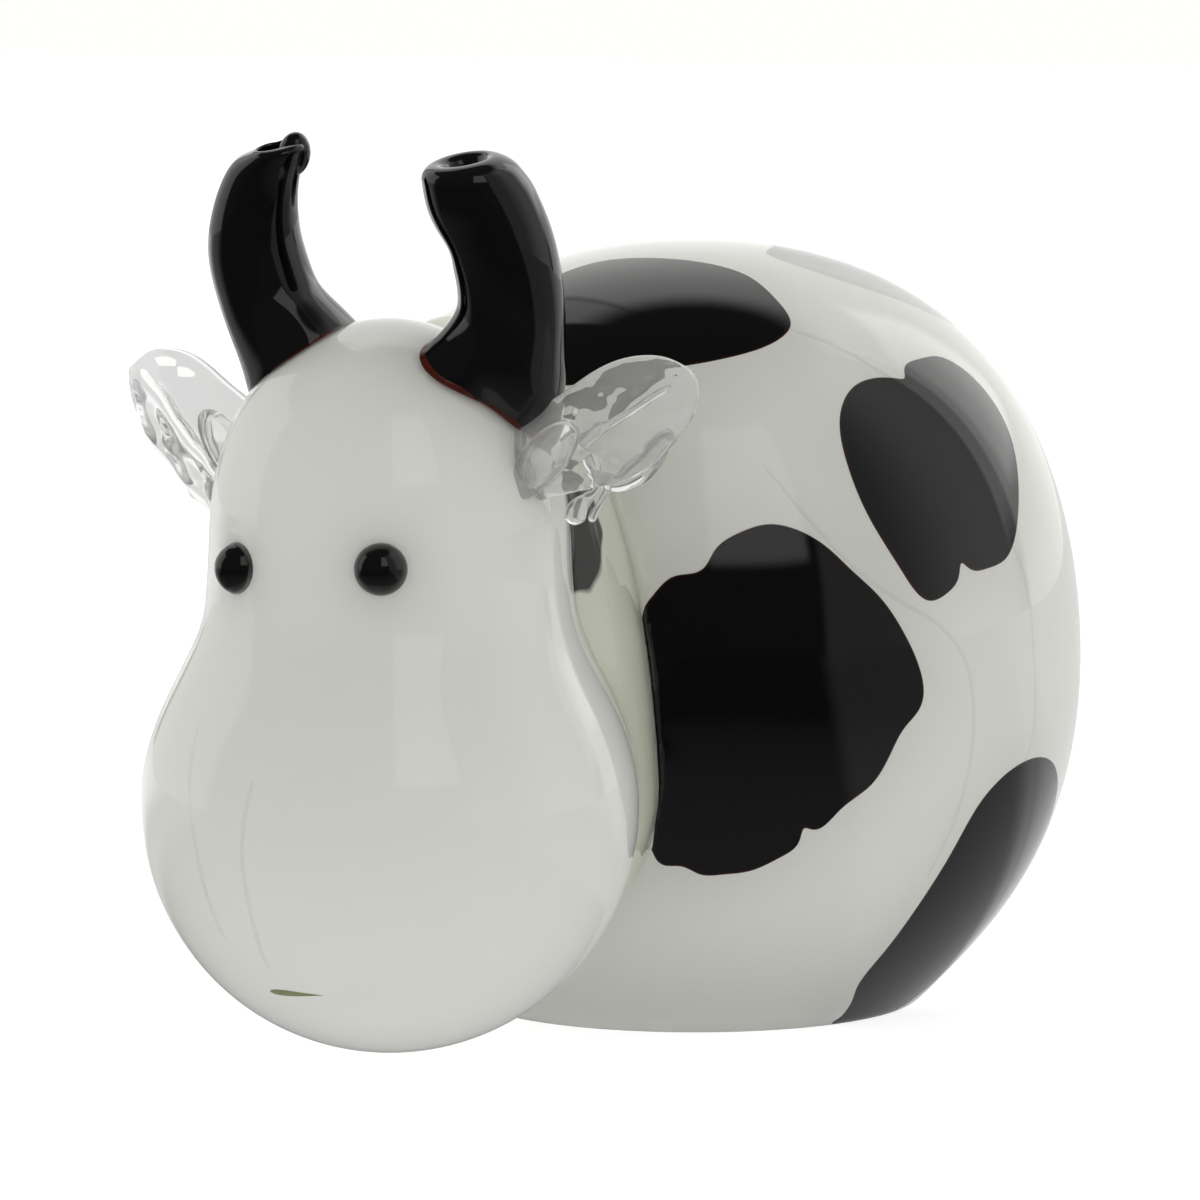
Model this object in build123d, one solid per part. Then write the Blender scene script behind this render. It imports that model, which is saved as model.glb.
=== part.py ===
from build123d import *
import os

# Hand-worked studio glass cow: a blown and cased body, a pear-shaped cased head, and horns, ears
# and eyes applied hot. Millimetres, +Z up. The origin is the middle of the flat sole that it stands
# on, the cow looks towards -Y and its own left side is +X.

# Body: a bubble of clear glass, a white opal overlay with black shards, and a clear casing
body_width = 90.0
body_height = 88.6
widest_share = 0.457
widest_height = widest_share * body_height
sole_diameter = 52.0
sole_round = 2.0
sole_flare = 10.0
sole_flare_rise = 9.6
body_casing_wall = 1.8
body_opal_wall = 1.6
body_core_wall = 4.2
shard_depth = 0.9
crown_reach_share = 0.66
shoulder_rise_share = 0.60
taper_drop_share = 0.52
sole_step_share = 0.45

# Head: a round pear that hangs over the table, its back pressed a little into the body's round
head_clearance = 3.6
head_height = 79.4
head_sink = 5.1
brow_width = 39.6
muzzle_width = 53.8
head_reach = body_width / 2 + muzzle_width / 2 - head_sink
head_top = head_clearance + head_height
muzzle_middle = head_clearance + muzzle_width / 2
head_casing_wall = 1.1
head_opal_wall = 1.4
head_core_wall = 3.2
head_back_wall = 2.2

# Neck: an egg of clear glass that welds the head to the body
neck_width = 40.0
neck_overlap = 0.8
neck_above = head_top + neck_overlap - muzzle_middle
neck_offset = 5.0
neck_reach = body_width / 2 + neck_offset
neck_lean = 3.8

# Horns: black tubes, flared where they were stuck on and sheared off at the tip
horn_width = 12.0
horn_bore = 3.4
horn_spread_share = 0.258
horn_spread = horn_spread_share * brow_width
horn_sway = 6.0
horn_lead = 0.9
horn_reach = head_reach + horn_lead
horn_forward = 5.0
horn_seat = 7.0
horn_root = head_top - horn_seat
horn_rise = 23.5
horn_cut_lean = 15.0
fringe_thickness = 0.9

# Ears: clear folded leaves with a thumbed pad at the root
ear_width = 13.0
ear_thickness = 4.4
ear_spread_share = 0.43
ear_spread = ear_spread_share * brow_width
ear_lag = 0.8
ear_reach = head_reach - ear_lag
ear_drop = 17.0
ear_root = head_top - ear_drop
ear_sweep = 4.2
left_ear_length = 17.6
left_ear_rise = 11.6
right_ear_length = 19.0
right_ear_rise = 10.0
ear_pad_width = 4.6
ear_pad_length = 7.4
ear_pad_forward = 3.6
ear_pad_tilt = 8.0

# Face: bead eyes and the mark of the mouth
eye_diameter = 5.6
eye_heading = 27.5
eye_drop = 25.7
eye_tilt = 30.0
mouth_width = 6.4
mouth_opening = 0.9
mouth_height = 12.8

overrun = 5.0

# Outline of the head above the muzzle's ball: half-width over the brow's, height over the crown's
face_shares = ((1.23, 0.205), (1.05, 0.355), (0.99, 0.49), (0.965, 0.635), (0.73, 0.86))

# Outline of an egg of glass above its widest place
egg_shares = ((0.955, 0.295), (0.825, 0.565), (0.62, 0.785), (0.36, 0.933))

# Each horn's middle line: how far it bows out, leans forward and rises; then its width along it
left_horn_path_shares = (
    (-0.28, -0.62, -0.34),
    (-0.03, -0.54, -0.17),
    (0.28, -0.44, 0.00),
    (0.57, -0.30, 0.17),
    (0.85, -0.14, 0.34),
    (0.92, 0.02, 0.47),
    (0.89, 0.18, 0.60),
    (0.78, 0.34, 0.72),
    (0.58, 0.52, 0.85),
    (0.38, 0.78, 1.00),
)
right_horn_path_shares = (
    (-1.17, -0.26, -0.34),
    (-0.77, -0.10, -0.17),
    (-0.35, 0.08, 0.00),
    (0.05, 0.24, 0.17),
    (0.44, 0.38, 0.34),
    (0.61, 0.48, 0.47),
    (0.70, 0.58, 0.60),
    (0.67, 0.68, 0.72),
    (0.55, 0.78, 0.85),
    (0.35, 0.88, 0.96),
    (0.01, 1.02, 1.06),
)
left_horn_width_shares = (
    (0.00, 1.16),
    (0.26, 1.20),
    (0.38, 1.10),
    (0.51, 0.97),
    (0.70, 0.94),
    (0.86, 0.90),
    (1.00, 0.70),
)
right_horn_width_shares = (
    (0.00, 1.24),
    (0.25, 1.22),
    (0.38, 1.08),
    (0.50, 0.93),
    (0.67, 0.87),
    (0.80, 0.76),
    (0.90, 0.65),
    (1.00, 0.52),
)
horn_bore_shares = ((0.60, 0.40), (0.82, 0.95), (1.00, 1.00))

# The way that the cut tips face: up, and leaning forwards
horn_cut = Vector(0, 0, 1).rotate(Axis.X, horn_cut_lean)

# An ear's cupped section, and its width and thickness from root to tip
ear_section_shares = (
    (-0.50, 0.00),
    (-0.30, -0.50),
    (0.00, -0.70),
    (0.30, -0.50),
    (0.50, 0.00),
    (0.28, 0.18),
    (0.00, -0.02),
    (-0.28, 0.18),
)
ear_taper_shares = (
    (0.00, 1.04, 1.15),
    (0.30, 1.00, 1.00),
    (0.62, 0.90, 0.95),
    (0.86, 0.64, 0.80),
    (1.00, 0.24, 0.45),
)

# Outlines of the black shards, as shares of their width and height
back_shares = (
    (0.48, 0.06),
    (0.41, 0.22),
    (0.28, 0.39),
    (0.11, 0.47),
    (-0.06, 0.50),
    (-0.23, 0.49),
    (-0.36, 0.37),
    (-0.46, 0.16),
    (-0.49, -0.12),
    (-0.36, -0.36),
    (-0.16, -0.47),
    (0.00, -0.43),
    (0.21, -0.34),
    (0.36, -0.22),
    (0.46, -0.06),
)
upper_shares = (
    (-0.50, 0.09),
    (-0.46, 0.23),
    (-0.31, 0.37),
    (-0.15, 0.38),
    (-0.06, 0.36),
    (0.09, 0.45),
    (0.25, 0.46),
    (0.41, 0.35),
    (0.48, 0.14),
    (0.41, -0.11),
    (0.33, -0.27),
    (0.19, -0.43),
    (0.05, -0.46),
    (-0.08, -0.43),
    (-0.14, -0.51),
    (-0.27, -0.55),
    (-0.39, -0.41),
    (-0.49, -0.15),
)
flank_shares = (
    (-0.50, 0.26),
    (-0.32, 0.38),
    (-0.15, 0.47),
    (-0.04, 0.50),
    (0.09, 0.46),
    (0.23, 0.36),
    (0.37, 0.23),
    (0.50, -0.01),
    (0.43, -0.13),
    (0.20, -0.33),
    (0.08, -0.37),
    (-0.03, -0.48),
    (-0.18, -0.50),
    (-0.33, -0.47),
    (-0.47, -0.30),
    (-0.54, 0.00),
)
lower_shares = (
    (-0.32, -0.53),
    (-0.45, -0.38),
    (-0.48, -0.24),
    (-0.48, -0.02),
    (-0.43, 0.18),
    (-0.34, 0.34),
    (-0.12, 0.44),
    (0.12, 0.45),
    (0.34, 0.37),
    (0.50, 0.19),
    (0.52, -0.06),
    (0.40, -0.25),
    (0.22, -0.41),
    (0.11, -0.48),
    (-0.12, -0.57),
)
pebble_shares = (
    (0.50, 0.05),
    (0.38, 0.34),
    (0.12, 0.46),
    (-0.08, 0.40),
    (-0.30, 0.48),
    (-0.48, 0.22),
    (-0.46, -0.10),
    (-0.34, -0.38),
    (-0.06, -0.50),
    (0.16, -0.40),
    (0.36, -0.44),
    (0.46, -0.20),
)

# Each shard: compass heading from the nose, pitch above the middle, its width as a share of the
# body's width, its height as a share of the body's height, and its outline
shards = {
    "patch_back": (15, 60, 0.378, 0.282, back_shares),
    "patch_left_upper": (77, 33, 0.311, 0.305, upper_shares),
    "patch_left_flank": (44, -2, 0.367, 0.440, flank_shares),
    "patch_left_lower": (92, -35, 0.289, 0.406, lower_shares),
    "patch_rump_top": (134, 67, 0.333, 0.282, pebble_shares),
    "patch_rump": (158, -8, 0.378, 0.406, back_shares),
    "patch_right_upper": (-92, 44, 0.356, 0.305, flank_shares),
    "patch_right_flank": (-52, 6, 0.344, 0.406, upper_shares),
    "patch_right_lower": (-110, -20, 0.322, 0.350, pebble_shares),
}


def body_form(inset):
    """The body's form drawn inwards by inset: a full crown, a long taper below and a flat sole."""
    side = body_width / 2 - inset
    crown = body_height - inset
    foot = sole_diameter / 2 - sole_step_share * inset
    shoulder = widest_height + shoulder_rise_share * (crown - widest_height)
    upper = Bezier((0, crown), (crown_reach_share * side, crown), (side, shoulder), (side, widest_height))
    lower = Bezier(
        (side, widest_height),
        (side, (1 - taper_drop_share) * widest_height),
        (foot + sole_flare, inset + sole_flare_rise),
        (foot, inset),
    )
    outline = upper + lower + Polyline((foot, inset), (0, inset), (0, crown))
    return revolve(make_face(Plane.XZ * outline), Axis.Z)


def body_outside():
    """The outer skin of the body, with the edge of its ground sole rounded."""
    form = body_form(0)
    sole_edge = form.edges().filter_by(GeomType.CIRCLE).sort_by(Axis.Z)[0]
    return fillet(sole_edge, sole_round)


def shard(heading, pitch, width_share, height_share, shares):
    """A prism with a shard's outline, looking outwards from the body's middle."""
    ray = Vector(0, -1, 0).rotate(Axis.X, -pitch).rotate(Axis.Z, heading)
    outwards = Vector(ray.X * body_width, ray.Y * body_width, ray.Z * body_height)
    level = Vector(1, 0, 0).rotate(Axis.Z, heading)
    plane = Plane(origin=(0, 0, widest_height), x_dir=level, z_dir=outwards)
    width = width_share * body_width
    height = height_share * body_height
    points = [(along * width, up * height) for along, up in shares]
    outline = Spline(*points, periodic=True)
    return extrude(plane * make_face(outline), body_width)


def head_form(inset):
    """The head's pear drawn inwards by inset, turned and set in place."""
    muzzle = muzzle_width / 2 - inset
    brow = brow_width / 2 - inset
    crown = head_height - muzzle_width / 2 - inset
    face = [(share * brow, rise * crown) for share, rise in face_shares]
    chin = CenterArc((0, 0), muzzle, -90, 90)
    side = Spline((muzzle, 0), *face, (0, crown), tangents=((0, 1), (-1, 0)))
    pear = revolve(make_face(Plane.XZ * (chin + side + Line((0, crown), (0, -muzzle)))), Axis.Z)
    return Pos(0, -head_reach, muzzle_middle) * pear


def egg(width, above):
    """A turned egg about the origin: a half ball below its widest place, drawn out above it."""
    half = width / 2
    side = [(half, 0), *((wide * half, up * above) for wide, up in egg_shares), (0, above)]
    ball = CenterArc((0, 0), half, -90, 90)
    flank = Spline(*side, tangents=((0, 1), (-1, 0)))
    outline = ball + flank + Line((0, above), (0, -half))
    return revolve(make_face(Plane.XZ * outline), Axis.Z)


def neck_form():
    """The clear glass that fills the seat between the head's back and the body."""
    return Pos(0, -neck_reach, muzzle_middle) * Rot(neck_lean, 0, 0) * egg(neck_width, neck_above)


def horn_form(path_shares, width_shares):
    """A left-hand horn's outside: circles lofted along a crescent, widest where it joins the head."""
    points = [
        (
            horn_spread + sway * horn_sway,
            -horn_reach - forward * horn_forward,
            horn_root + rise * horn_rise,
        )
        for sway, forward, rise in path_shares
    ]
    path = Spline(*points)
    tube = loft([section(path, along, share * horn_width) for along, share in width_shares])
    bore = [section(path, along, share * horn_bore) for along, share in horn_bore_shares]
    bore.append(Pos(*(horn_cut * overrun)) * bore[-1])
    return tube - loft(bore)


def section(path, along, width):
    """A disc square to the path at a share of its length; at the tip it lies in the shears' cut."""
    facing = horn_cut if along == 1 else path % along
    return Plane(origin=path @ along, z_dir=facing) * Circle(width / 2).face()


def ear_form(length, rise):
    """A left-hand ear: cupped sections lofted outwards, with the pad that holds it to the head."""
    root = Vector(ear_spread, -ear_reach, ear_root)
    reach = Vector(length, ear_sweep, rise)
    sections = []
    for along, wide, thick in ear_taper_shares:
        plane = Plane(origin=root + reach * along, x_dir=(0, 0, 1), z_dir=reach)
        points = [(x * wide * ear_width, -y * thick * ear_thickness) for x, y in ear_section_shares]
        sections.append(plane * make_face(Spline(*points, periodic=True)))
    pad = Rot(0, -ear_pad_tilt, 0) * egg(ear_pad_width, ear_pad_length)
    return loft(sections) + Pos(ear_spread, -ear_reach - ear_pad_forward, ear_root) * pad


def eye_form():
    """The left eye: a bead of black glass before it settles on the head."""
    bead = Rot(0, eye_tilt, eye_tilt) * Sphere(eye_diameter / 2)
    seat = Vector(0, -brow_width / 2, 0).rotate(Axis.Z, eye_heading)
    return Pos(seat.X, seat.Y - head_reach, head_top - eye_drop) * bead


def mouth_form():
    """A slit-shaped prism from the head's axis out through the front of the muzzle."""
    slit = Plane.XZ * Ellipse(mouth_width / 2, mouth_opening / 2).face()
    prism = extrude(slit, muzzle_width)
    return Pos(0, -head_reach, mouth_height) * prism


def write(name, shape):
    export_step(shape, f"parts/{name}.step")
    print(name, len(shape.solids()), round(shape.volume))


def main():
    os.makedirs("parts", exist_ok=True)

    opal_inset = body_casing_wall
    core_inset = opal_inset + body_opal_wall
    bubble_inset = core_inset + body_core_wall
    body_skin = body_outside()
    opal_skin = body_form(opal_inset)
    core_skin = body_form(core_inset)
    write("body_casing", body_skin - opal_skin)
    shard_floor = body_form(opal_inset + shard_depth)
    opal = opal_skin - core_skin
    for name, outline in shards.items():
        prism = shard(*outline) - shard_floor
        opal = opal - prism
        write(name, opal_skin & prism)
    write("body_opal", opal)
    write("body_core", core_skin - body_form(bubble_inset))

    head_room = body_form(-head_back_wall)
    head_skin = head_form(0) - head_room
    head_opal = head_form(head_casing_wall)
    head_core = head_form(head_casing_wall + head_opal_wall)
    head_bubble = head_form(head_casing_wall + head_opal_wall + head_core_wall)
    write("head_casing", head_skin - head_opal)
    opal = head_opal - head_core - head_room
    write("mouth_mark", opal & mouth_form())
    write("head_opal", opal - mouth_form())
    write("head_core", head_core - head_bubble - head_room)
    write("neck_lens", neck_form() - head_skin - body_skin)

    left_horn = horn_form(left_horn_path_shares, left_horn_width_shares) - head_skin
    right_horn = horn_form(right_horn_path_shares, right_horn_width_shares) - head_skin
    right_horn = mirror(right_horn, about=Plane.YZ)
    fringe_zone = head_form(-fringe_thickness)
    for name, horn in (("horn_left", left_horn), ("horn_right", right_horn)):
        write(name, horn - fringe_zone)
        write(f"{name}_fringe", horn & fringe_zone)

    left_ear = ear_form(left_ear_length, left_ear_rise) - head_skin
    right_ear = mirror(ear_form(right_ear_length, right_ear_rise), about=Plane.YZ) - head_skin
    write("ear_left", left_ear - left_horn)
    write("ear_right", right_ear - right_horn)
    eye = eye_form() - head_skin
    write("eye_left", eye)
    write("eye_right", mirror(eye, about=Plane.YZ))


main()
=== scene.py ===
# %% [markdown]
# A cow of hand-blown studio glass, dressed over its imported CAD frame.
#
# The real one is a bubble of clear glass rolled in white opal, with shards of black glass on it, and
# then dipped once more in clear glass. So what the eye meets first is always a clear, fire-polished
# skin, and the white and the black lie 1 to 2 mm under it, on the body and on the head. This file
# builds those layers one by one as surfaces worked out with numpy, in millimetres, in the frame's
# own place, and lets them stand for the CAD nodes.

# %% Load the frame
import bmesh
import bpy
import numpy as np
from mathutils import Matrix, Vector


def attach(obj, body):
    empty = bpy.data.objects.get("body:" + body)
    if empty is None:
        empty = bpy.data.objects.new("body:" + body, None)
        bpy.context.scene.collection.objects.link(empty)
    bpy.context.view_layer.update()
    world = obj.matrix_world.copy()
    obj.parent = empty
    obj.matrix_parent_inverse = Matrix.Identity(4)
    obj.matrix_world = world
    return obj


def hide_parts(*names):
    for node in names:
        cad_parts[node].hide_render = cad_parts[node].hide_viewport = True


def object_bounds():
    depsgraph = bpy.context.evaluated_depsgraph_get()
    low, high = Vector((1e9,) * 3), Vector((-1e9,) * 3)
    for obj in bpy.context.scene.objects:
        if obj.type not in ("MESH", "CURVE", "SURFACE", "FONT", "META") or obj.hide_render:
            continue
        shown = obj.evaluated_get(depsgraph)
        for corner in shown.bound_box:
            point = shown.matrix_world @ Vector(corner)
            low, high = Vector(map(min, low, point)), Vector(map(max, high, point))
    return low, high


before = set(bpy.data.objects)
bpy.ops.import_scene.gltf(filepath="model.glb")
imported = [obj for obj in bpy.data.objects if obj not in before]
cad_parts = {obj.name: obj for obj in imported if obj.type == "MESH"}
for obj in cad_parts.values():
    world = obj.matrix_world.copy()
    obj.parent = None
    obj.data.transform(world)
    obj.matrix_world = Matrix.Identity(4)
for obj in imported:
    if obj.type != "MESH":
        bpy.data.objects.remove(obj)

cad_low, cad_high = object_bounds()
MM = 0.001
cad_size = [round((b - a) / MM, 1) for a, b in zip(cad_low, cad_high)]
print("nodes:", len(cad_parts), "box in mm:", cad_size)

# %% [markdown]
# The camera comes first. It was placed by fitting the body's and the head's outlines: 30 degrees
# round to the cow's left, almost level, 0.8 m away, with a long lens. A long lens keeps the round
# body from looking swollen.

# %% Camera
camera_azimuth = np.radians(30.0)
camera_rise = np.radians(5.84)
camera_distance = 795.0
camera_aim = np.array([0.0, 0.0, 44.17])
camera_aside = 10.75
camera_above = -2.47
focal_pixels = 6840.0
photo_pixels = 1200.0
sensor_mm = 36.0

towards_camera = np.array([
    np.sin(camera_azimuth) * np.cos(camera_rise),
    -np.cos(camera_azimuth) * np.cos(camera_rise),
    np.sin(camera_rise),
])
image_right = np.array([np.cos(camera_azimuth), np.sin(camera_azimuth), 0.0])
image_up = np.cross(towards_camera, image_right)
camera_place = (
    camera_aim + camera_distance * towards_camera - camera_aside * image_right - camera_above * image_up
)

lens = bpy.data.cameras.new("studio_camera")
lens.sensor_width = sensor_mm
lens.lens = focal_pixels / photo_pixels * sensor_mm
camera = bpy.data.objects.new("studio_camera", lens)
turn = Matrix((image_right, image_up, towards_camera)).transposed().to_4x4()
camera.matrix_world = Matrix.Translation(Vector(camera_place * MM)) @ turn
bpy.context.scene.collection.objects.link(camera)
bpy.context.scene.camera = camera
print("camera at", np.round(camera_place).tolist(), "mm, lens", round(lens.lens, 1), "mm")

# %% [markdown]
# Every new piece is a skin: a stack of closed rings of points, joined by quads, with a pole or a
# flat centre point closing each end. Whole arrays of points go in at once. The signed volume tells
# whether the faces look outwards, and the skin is turned round if they don't.

# %% A skin from rings of points
def skin(name, rings, first=None, last=None, ring_loop=False):
    """Joins ring k to ring k + 1, point by point, and closes each end with a fan about its point.

    With ring_loop the last ring joins the first one, which makes a closed hoop with no ends.
    """
    count, around = rings.shape[:2]
    points = rings.reshape(-1, 3)
    index = np.arange(count * around).reshape(count, around)
    below = index if ring_loop else index[:-1]
    above = np.roll(index, -1, axis=0) if ring_loop else index[1:]
    quads = np.stack([below, np.roll(below, -1, 1), np.roll(above, -1, 1), above], -1).reshape(-1, 4)
    fans = []
    for pole, ring, flip in ((first, index[0], True), (last, index[-1], False)):
        if pole is None:
            continue
        top = np.full(around, len(points))
        points = np.vstack([points, pole])
        fan = np.stack([ring, np.roll(ring, -1), top], -1)
        fans.append(fan[:, ::-1] if flip else fan)
    corners = points[quads[:, :3]] - points.mean(0)
    other = points[quads[:, [0, 2, 3]]] - points.mean(0)
    volume = sum(np.einsum("ij,ij->", c[:, 0], np.cross(c[:, 1], c[:, 2])) for c in (corners, other))
    for fan in fans:
        c = points[fan] - points.mean(0)
        volume += np.einsum("ij,ij->", c[:, 0], np.cross(c[:, 1], c[:, 2]))
    faces = quads.tolist() + [f for fan in fans for f in fan.tolist()]
    mesh = bpy.data.meshes.new(name)
    mesh.from_pydata((points * MM).tolist(), [], faces)
    if volume < 0:
        mesh.flip_normals()
    mesh.shade_smooth()
    piece = bpy.data.objects.new(name, mesh)
    bpy.context.scene.collection.objects.link(piece)
    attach(piece, "root")
    print(name, "has", len(faces), "faces and", round(abs(volume) / 6), "cubic mm")
    return piece


def note(piece, name, values):
    """Keeps one number per point of the mesh, for a material to read as an attribute."""
    held = piece.data.attributes.new(name, "FLOAT", "POINT")
    held.data.foreach_set("value", np.asarray(values, np.float32))

# %% [markdown]
# Two kinds of curve draw nearly all of the cow. A Bezier curve with four points gives the body its
# full, taut side. A smooth curve through chosen points gives the face, the horns and the shards
# their outlines: its slopes at the points come from one small set of equations, which keeps the
# bending even, as a bent strip of steel would.

# %% Curves
def unit(vectors):
    """Each vector divided by its own length."""
    return vectors / np.maximum(np.linalg.norm(vectors, axis=-1, keepdims=True), 1e-6)


def once_round(steps):
    """Angles in even steps, once round the circle."""
    return np.linspace(0, 2 * np.pi, steps, endpoint=False)


def radius_at(outline, height, **outside):
    """The radius of an outline of (radius, height) at each height, along straight steps."""
    order = np.argsort(outline[:, 1])
    return np.interp(height, outline[order, 1], outline[order, 0], **outside)


def bezier(a, b, c, d, count):
    """The points (1-t)^3 a + 3 (1-t)^2 t b + 3 (1-t) t^2 c + t^3 d for t from 0 to 1."""
    t = np.linspace(0, 1, count)[:, None]
    a, b, c, d = (np.array(p, float) for p in (a, b, c, d))
    return (1 - t) ** 3 * a + 3 * (1 - t) ** 2 * t * b + 3 * (1 - t) * t * t * c + t ** 3 * d


def smooth_curve(points, count, start_slope=None, end_slope=None):
    """A cubic curve through the points, evenly spread over its length, with the given end slopes."""
    p = np.asarray(points, float)
    step = np.linalg.norm(np.diff(p, axis=0), axis=1)
    knots = np.r_[0, np.cumsum(step)]
    last = len(p) - 1
    left = np.zeros((last + 1, last + 1))
    right = np.zeros(p.shape)
    for i in range(1, last):
        before, after = step[i - 1], step[i]
        left[i, i - 1:i + 2] = after, 2 * (before + after), before
        right[i] = 3 * ((p[i] - p[i - 1]) / before * after + (p[i + 1] - p[i]) / after * before)
    for i, j, slope in ((0, 1, start_slope), (last, last - 1, end_slope)):
        left[i, i] = 1 if slope is not None else 2
        left[i, j] = 0 if slope is not None else 1
        free = 3 * (p[j] - p[i]) / (knots[j] - knots[i])
        right[i] = slope if slope is not None else free
    slopes = np.linalg.solve(left, right)
    at = np.linspace(0, knots[-1], count)
    k = np.clip(np.searchsorted(knots, at, side="right") - 1, 0, last - 1)
    t = ((at - knots[k]) / step[k])[:, None]
    h = step[k][:, None]
    blend = (2 * t ** 3 - 3 * t * t + 1) * p[k] + (3 * t * t - 2 * t ** 3) * p[k + 1]
    return blend + h * ((t ** 3 - 2 * t * t + t) * slopes[k] + (t ** 3 - t * t) * slopes[k + 1])


def closed_curve(points, count):
    """The same curve run round a closed outline: three points of overlap hide the join."""
    p = np.asarray(points, float)
    lap = np.vstack([p[-3:], p, p[:3]])
    dense = smooth_curve(lap, 60 * len(lap))
    knots = np.r_[0, np.cumsum(np.linalg.norm(np.diff(lap, axis=0), axis=1))]
    run = np.linspace(0, knots[-1], len(dense))
    want = np.linspace(knots[3], knots[3 + len(p)], count, endpoint=False)
    return np.stack([np.interp(want, run, dense[:, k]) for k in range(p.shape[1])], -1)

# %% [markdown]
# The body is turned on the blowpipe, so it is a profile carried round the upright axis. Its crown is
# full, its lower half tapers to a flat sole that was ground for standing. A hand-blown skin is never
# quite round: a slow wobble of about a tenth of a millimetre, built from three sine waves, is enough
# to make the reflections swim as they do on the real one.

# %% Body outline
body_width = 90.0
body_height = 88.6
widest_height = 40.5
sole_diameter = 52.0
sole_round = 2.0
body_casing_wall = 1.8
round_steps = 288
skin_steps = 224
crown_fullness = 0.66
shoulder_share = 0.60
taper_share = 0.48
sole_inset_share = 0.45
sole_flare = 10.0
sole_rise = 9.6
wobble_depth = 0.10
wobble_length = 34.0
wobble_waves = (((1.0, 0.35, 0.6), 2.0, 0.0), ((-0.5, 1.0, 0.25), 2.3, 1.3), ((0.3, -0.6, 1.0), 1.7, 2.1))
still_height = 4.0
wobble_fade = 10.0
pole_fade = 8.0


def body_profile(inset, fine=1):
    """Radius and height from the crown down to the middle of the sole, drawn inwards by inset."""
    side, crown = body_width / 2 - inset, body_height - inset
    foot = sole_diameter / 2 - sole_inset_share * inset
    shoulder = widest_height + shoulder_share * (crown - widest_height)
    top, widest = (0, crown), (side, widest_height)
    upper = bezier(top, (crown_fullness * side, crown), (side, shoulder), widest, 90 * fine)
    taper, flare = (side, taper_share * widest_height), (foot + sole_flare, inset + sole_rise)
    lower = bezier(widest, taper, flare, (foot, inset), 70 * fine)
    gap = np.linalg.norm(lower - lower[-1], axis=1)
    kept = lower[gap > sole_round]
    edge = bezier(kept[-1], (foot, inset), (foot, inset), (foot - sole_round, inset), 12)
    return np.vstack([upper, kept[1:-1], edge])


def wobble(points):
    """The mean of three sine waves that run through space in three directions, from -1 to 1."""
    waves = [
        np.sin(points @ np.array(way) / wobble_length * halves * np.pi + start)
        for way, halves, start in wobble_waves
    ]
    return sum(waves) / len(waves)


def turned(profile, centre=(0.0, 0.0, 0.0), steps=round_steps):
    """Carries a profile of (radius, height) once round the upright axis: radius times cos and sin."""
    angle = once_round(steps)
    radius, height = profile[:, :1], profile[:, 1:]
    rings = np.stack([radius * np.cos(angle), radius * np.sin(angle), height + 0 * angle], -1)
    return rings + np.array(centre)


def blown(rings, axis_y=0.0):
    """Moves each point away from the upright axis by the wobble, less and less near the sole."""
    out = rings - np.array([0.0, axis_y, 0.0])
    out[..., 2] = 0
    radius = np.maximum(np.linalg.norm(out, axis=-1, keepdims=True), 1e-6)
    lifted = np.clip((rings[..., 2:] - still_height) / wobble_fade, 0, 1)
    share = np.clip(radius / pole_fade, 0, 1)
    return rings + out / radius * (wobble(rings)[..., None] * wobble_depth * lifted * share)


profile = body_profile(0)
body_rings = blown(turned(profile[1:], steps=skin_steps))
body_glass = skin("body_glass", body_rings, first=(0, 0, body_height), last=(0, 0, 0))
opal_profile = body_profile(body_casing_wall)
body_white = skin(
    "body_white",
    turned(opal_profile[1:]),
    first=(0, 0, body_height - body_casing_wall),
    last=(0, 0, body_casing_wall),
)
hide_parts("body_opal")

# %% [markdown]
# The black patches are shards of thin black glass that were picked up on the hot opal and rolled in.
# Each is a plate: its outline is a closed smooth curve, filled by rings that shrink to its middle,
# and every point is pushed straight out until it meets the opal's skin. Each point also keeps its
# distance from the rim, so that the finish can let the thin edge turn dark red-brown, and one shard
# is coloured towards pale grey along one side.

# %% Shards of black glass
shard_rings = np.r_[1.0, 1 - np.linspace(0, 1, 26)[:-1] ** 1.7 * 0.97]
shard_steps = 260
shard_relief = 0.08
shard_bed = body_profile(body_casing_wall, 20)
well_outside = 70.0
grey_side_start = -0.10
grey_side_share = 0.3
shard_sink = 0.45

back_shares = (
    (0.48, 0.06), (0.41, 0.22), (0.28, 0.39), (0.11, 0.47), (-0.06, 0.50), (-0.23, 0.49),
    (-0.36, 0.37), (-0.46, 0.16), (-0.49, -0.12), (-0.36, -0.36), (-0.16, -0.47), (0.00, -0.43),
    (0.21, -0.34), (0.36, -0.22), (0.46, -0.06),
)
upper_shares = (
    (-0.50, 0.09), (-0.46, 0.23), (-0.31, 0.37), (-0.15, 0.38),
    (-0.085, 0.365), (-0.06, 0.362), (-0.03, 0.40),
    (0.09, 0.45), (0.25, 0.46), (0.41, 0.35), (0.48, 0.14), (0.41, -0.11), (0.33, -0.27), (0.19, -0.43),
    (0.05, -0.465), (-0.055, -0.45), (-0.085, -0.432), (-0.105, -0.47), (-0.17, -0.53), (-0.27, -0.55),
    (-0.39, -0.41), (-0.49, -0.15),
)
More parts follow.
